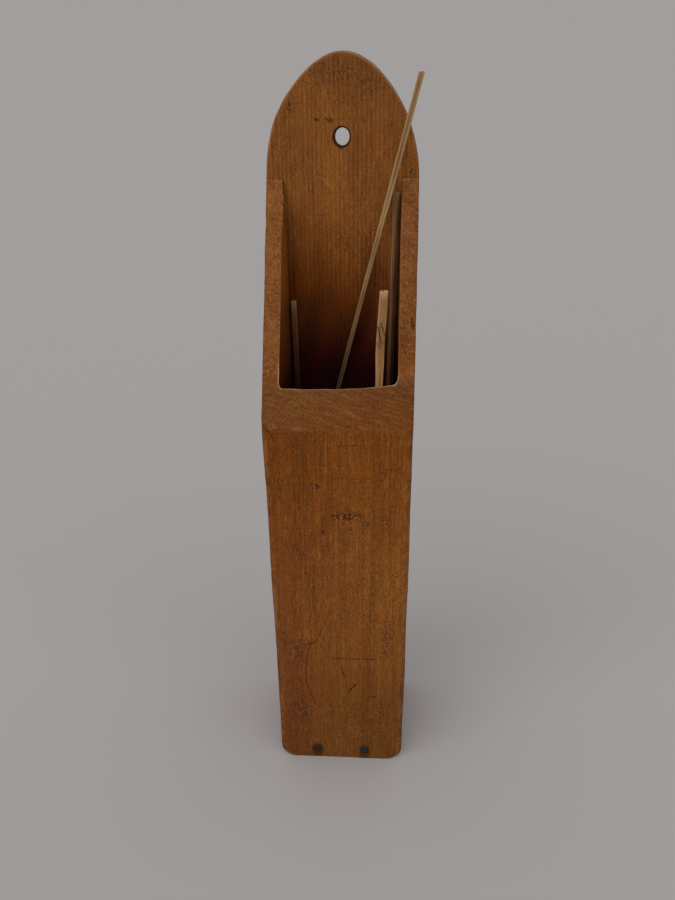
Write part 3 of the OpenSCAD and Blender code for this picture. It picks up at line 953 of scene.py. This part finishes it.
def stickPatch(node, look, seed):
    # a squarish section carried along the stick's axis, drawn in to a worn round at both ends
    middle, axis, wide, thick, (length, width, thickness) = stickFrame(node, look.turn)
    foot, length = middle - axis * length / 2, length + look.longer
    rings = spread(0, length, *stickGrid.along)
    cap = np.array([0, 0.35, 0.7])  # rings that close each end
    s = np.concatenate([cap * 0, rings, cap * 0 + length])[:, None]
    closed = np.concatenate([cap, np.ones(len(rings)), cap[::-1]])[:, None]
    near = np.clip(np.minimum(s, length - s) / look.end, 0, 1)
    drawn = look.end * (1 - np.sqrt(1 - (1 - near) ** 2))
    turn = np.linspace(0, 2 * np.pi, stickGrid.around + 1)
    thinner, fromShare, toShare = look.taper
    grow = 1 - thinner * smooth(s / length, fromShare, toShare)
    phase = np.random.default_rng(seed).uniform(0, 6, 4)
    rough = 1 + 0.02 * np.sin(s / 3.1 + phase[0] + np.sin(turn))
    rough = rough + 0.015 * np.sin(s / 1.3 + phase[1] + 2 * np.cos(turn))

    def squared(ratio, half):
        return np.sign(ratio) * np.abs(ratio) ** look.square * (half * grow * rough - drawn) * closed

    u = squared(np.cos(turn), width / 2 * look.slim)
    v = squared(np.sin(turn), thickness / 2 * look.slim)
    v = v * (1 - look.ridge * np.abs(u) / (width / 2) * (v < 0))
    sway = look.wander * np.sin(np.pi * s / length)
    u = u + sway * np.sin(s / 41 + phase[2])
    v = v + sway * np.sin(s / 37 + phase[3])
    kink, below, reach = look.kink
    aside = look.bow * np.sin(np.pi * s / length) ** 2 + kink * bell(length - s, below, reach)
    s = s + look.tilt * u * smooth(s, length - 6, length)
    grid = foot + s[..., None] * axis + u[..., None] * wide + v[..., None] * thick
    return grid + aside[..., None] * np.eye(3)[0] + look.back * np.eye(3)[1]


def spillWood(node, look):
    made, place, (x, y, z) = newMaterial(node + "_wood")
    middle, axis, _, _, (length, width, _) = stickFrame(node, look.turn)
    top = middle + axis * (length / 2 + look.longer)
    turned = Vector(axis).rotation_difference(Vector((0, 0, 1))).to_euler()
    straight = place.add("Mapping", {}, {"Vector": place, "Rotation": turned})
    fibre = straight.stretch(0.3, 0.3, 9).noise(3.0, 0.6)
    lines = straight.stretch(0.7, 0.7, 40).noise(2.0, 0.6)
    flecks = straight.stretch(0.5, 0.5, 2.2).noise(2.0)
    cloud = straight.stretch(4, 4, 18).noise(2.0)
    # the top is rubbed pale, saw cuts cross the stick below it, and painted shade darkens it down in the
    # pocket
    fromTop = z - top[2]
    tip = fromTop.ease(-5, -0.5) * look.worn
    cuts = allMarks(x + (flecks - 0.5) * 0.7, z, look.cuts)
    below = (y - frontY) * -slant[0] + (z - block.lipHeight) * -slant[1]
    # painted shade, darker down in the pocket
    grime = below.ease(3, woodWear.sootDepth) * look.grime
    bend = look.bow * np.sin(0.7 * np.pi) ** 2  # how far it is bowed at three tenths below its top
    across = x - fromTop * (axis[0] / axis[2]) - top[0] - fromTop.ease(0, -0.3 * length) * bend
    outward = (across * across) ** 0.5 / (width / 2)
    rim = outward.ease(0.5, 0.9) * look.edges
    crack = (outward + (cloud - 0.5) * 0.5).ease(0.35, 0.05) * lines.ease(0.3, 0.6) * look.split
    # the right half is shadowed, and nearly all of it towards the top
    upper = fromTop.ease(-75, -35)
    shadowed = (across + upper * 0.85).ease(-0.3, 0) * (1 + upper * 0.6)
    pale = (lines * 0.6 + cloud * 0.5).ease(0.35, 0.75)
    colour = place.tint(shade(*look.dark), shade(*look.light), pale)
    colour = colour.shaded(0.72 + fibre * 0.35 + flecks * 0.2).coats(
        stickTones,
        rubbed=tip.larger(rim * (0.4 + cloud)),
        crack=crack,
        fleck=flecks.ease(0.62, 0.74) * 0.5,
        cut=cuts * 0.95,
        shadow=shadowed * look.shaded,
        grime=grime,
    )
    height = fibre * 0.6 + flecks * 0.3 - cuts * 1.2 - crack * 1.2
    return finishMaterial(made, colour, 0.62 + fibre * 0.2, height, 0.14, {"Specular IOR Level": 0.1})


for number, (node, values) in enumerate(spills.items()):
    look = Values(**values)
    stick = weld(node + "_stick", [stickPatch(node, look, stickGrid.seed + number)])
    finishPiece(stick, node, node, spillWood(node, look))


# light, floor and camera

light = Values(
    sky=0.62, suns=[((-0.5, -0.75, 0.45), 1.3), ((0.5, -0.75, 0.45), 0.5)], sunSize=60,
    ground=shade(162, 158, 157), floorSize=60,
)
# the camera, in millimetres and degrees
eye = Values(place=(25.15, -378.41, 328.39), down=22.009, left=4.145, roll=-0.746, lens=31.2, film=36)


def makeLight():
    # an even sky and two wide soft suns; camera and glossy rays see the ground's colour instead of the sky
    world = bpy.data.worlds.new("studio")
    bpy.context.scene.world = world
    start = emptyTree(world)
    path = start.add("LightPath", {}, {}).socket.node.outputs
    rays = ("Is Camera Ray", "Is Glossy Ray", "Is Transmission Ray")
    seen = [Wire(world.node_tree, path[name]) for name in rays]
    seen = seen[0].larger(seen[1]).larger(seen[2])
    sky = (light.sky,) * 3 + (1.0,)
    shown = start.add("Background", {}, {"Color": start.tint(sky, light.ground, seen)})
    start.finish("World", shown)
    for way, energy in light.suns:
        lamp = bpy.data.lights.new("soft_sun", "SUN")
        lamp.energy = energy
        lamp.angle = np.radians(light.sunSize)
        sun = addObject("soft_sun", lamp)
        sun.rotation_mode = "QUATERNION"
        sun.rotation_quaternion = Vector(way).to_track_quat("Z", "Y")


def makeFloor():
    # a wide plane whose own colour under that light comes out as the ground's
    half = light.floorSize / 2
    mesh = bpy.data.meshes.new("floor")
    corners = [(-half, -half, 0), (half, -half, 0), (half, half, 0), (-half, half, 0)]
    mesh.from_pydata(corners, [], [(0, 1, 2, 3)])
    floor = addObject("floor", mesh)
    made = bpy.data.materials.new("pale_floor")
    lit = light.sky + sum(energy / np.pi * Vector(way).normalized().z for way, energy in light.suns)
    colour = tuple(c / lit for c in light.ground[:3]) + (1.0,)
    start = emptyTree(made)
    start.finish("Material", start.add("BsdfDiffuse", {}, {"Color": colour}))
    mesh.materials.append(made)


def makeCamera():
    # looks down, turned left and rolled by the angles above
    down, left, roll = np.radians([eye.down, eye.left, eye.roll])
    ahead = np.array([-np.sin(left) * np.cos(down), np.cos(left) * np.cos(down), -np.sin(down)])
    level = np.array([np.cos(left), np.sin(left), 0])
    upright = np.cross(level, ahead)
    right = np.cos(roll) * level + np.sin(roll) * upright
    up = np.cos(roll) * upright - np.sin(roll) * level
    lens = bpy.data.cameras.new("camera")
    lens.sensor_fit = "VERTICAL"
    lens.sensor_height = eye.film
    lens.lens = eye.lens
    lens.clip_start = 0.01
    camera = addObject("camera", lens)
    turned = Matrix(np.stack([right, up, -ahead], 1).tolist()).to_4x4()
    camera.matrix_world = Matrix.Translation(Vector(eye.place) * mm) @ turned
    bpy.context.scene.camera = camera


makeLight()
makeFloor()
makeCamera()
bpy.context.scene.view_settings.view_transform = "Standard"
print("light, floor and camera set")
